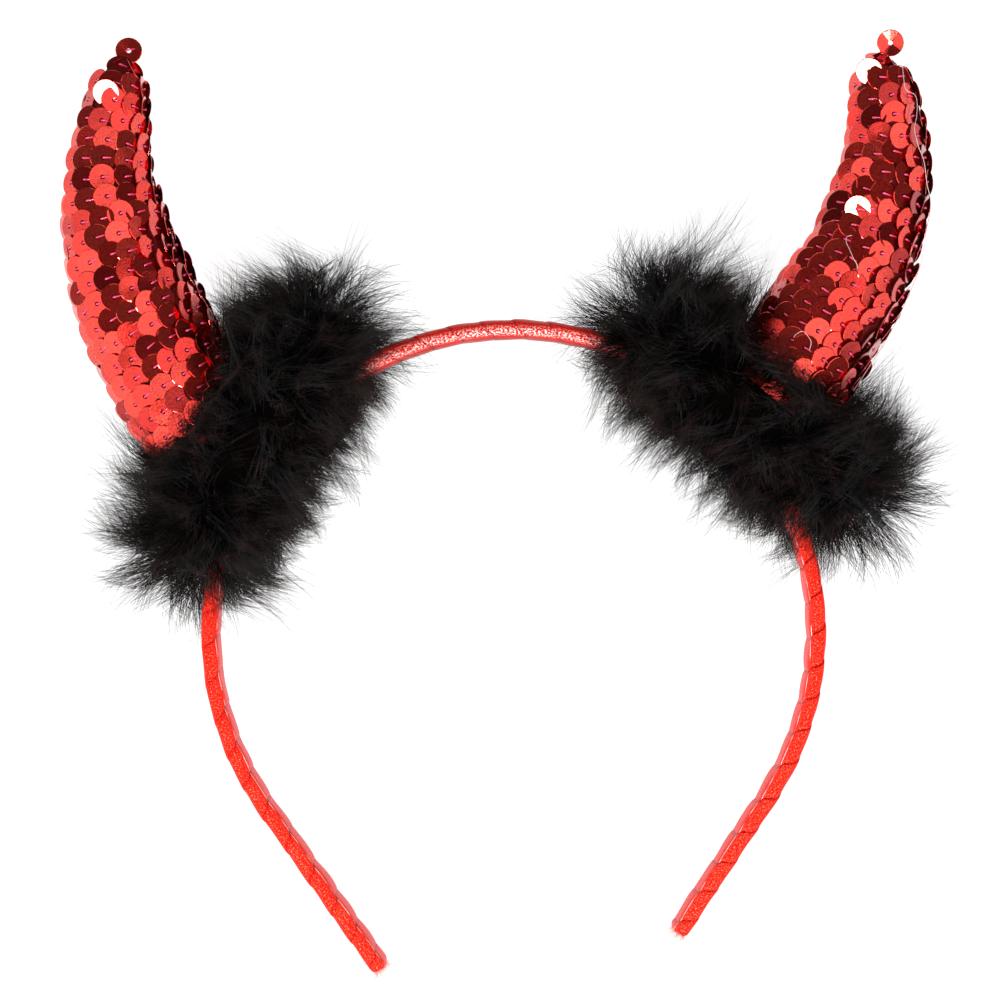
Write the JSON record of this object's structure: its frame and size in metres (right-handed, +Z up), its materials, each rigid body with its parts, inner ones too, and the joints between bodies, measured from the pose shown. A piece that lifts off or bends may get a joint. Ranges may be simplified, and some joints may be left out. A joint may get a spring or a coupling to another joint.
{
  "type": "devil horns headband",
  "caption": "Headband wrapped in red satin ribbon, with curved stuffed sequin horns that each stand in a loop of black marabou.",
  "frame": {"origin": "middle of the footprint of the headband's box, on the surface that it lies on", "axes": "+Z up from the surface that it lies on, +Y from the band's open ends towards the horn tips, +X towards the right horn as seen from above with the horns away from the viewer"},
  "size_m": [0.195, 0.2082, 0.0527],
  "materials": {
    "satin_wrapped_strip": "red satin ribbon wound over a stiff plastic strip",
    "stuffed_horn": "stuffed red cloth, covered with rows of sewn sequins",
    "sequin_film": "cupped sequins of metallised red film",
    "marabou_down": "black marabou feather boa"
  },
  "bodies": {
    "root": {"wrapped_band": "satin_wrapped_strip", "left_horn": "stuffed_horn", "right_horn": "stuffed_horn", "left_tip_sequin": "sequin_film", "right_tip_sequin": "sequin_film", "left_marabou": "marabou_down", "right_marabou": "marabou_down"}
  },
  "joints": []
}
